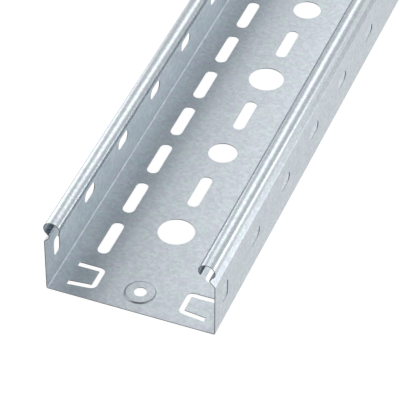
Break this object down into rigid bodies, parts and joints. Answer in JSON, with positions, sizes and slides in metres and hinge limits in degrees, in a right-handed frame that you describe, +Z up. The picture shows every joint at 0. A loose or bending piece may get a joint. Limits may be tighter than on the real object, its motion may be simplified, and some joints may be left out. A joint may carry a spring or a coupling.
{
  "type": "perforated cable tray",
  "caption": "Straight length of perforated metal cable tray: a shallow open channel with slotted floor and walls, rolled upper edges and joint cut-outs at its ends.",
  "frame": {"origin": "middle of the underside, halfway along and across the tray", "axes": "+Y along the tray away from the end seen in the picture, +X across to the right wall, +Z up out of the channel"},
  "size_m": [0.1, 2, 0.05],
  "materials": {
    "galvanised_steel": "galvanised sheet with fine spangle"
  },
  "bodies": {
    "root": {"cable_tray": "galvanised_steel"}
  },
  "joints": []
}
